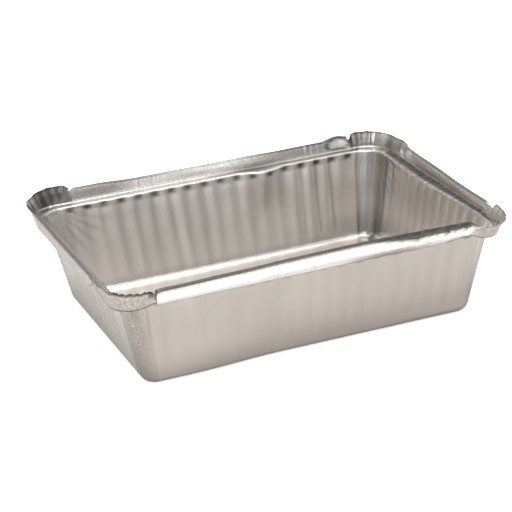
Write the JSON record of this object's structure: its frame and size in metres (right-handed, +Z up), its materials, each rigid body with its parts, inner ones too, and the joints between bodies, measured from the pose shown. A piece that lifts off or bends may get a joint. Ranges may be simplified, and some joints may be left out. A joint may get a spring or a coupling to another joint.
{
  "type": "foil food tray",
  "caption": "Oblong pressed foil tray with fluted tapering walls, a flat floor, a narrow lid ledge and an upright flange, rolled outward on the sides and left plain at the rounded corners.",
  "frame": {"origin": "middle of the floor's underside", "axes": "+Z up out of the mouth, +X along the long side, +Y along the short side"},
  "size_m": [0.1782, 0.1342, 0.047],
  "materials": {
    "foil": "bright rolled foil, softly brushed, creased by pressing"
  },
  "bodies": {
    "root": {"tray": "foil"}
  },
  "joints": []
}
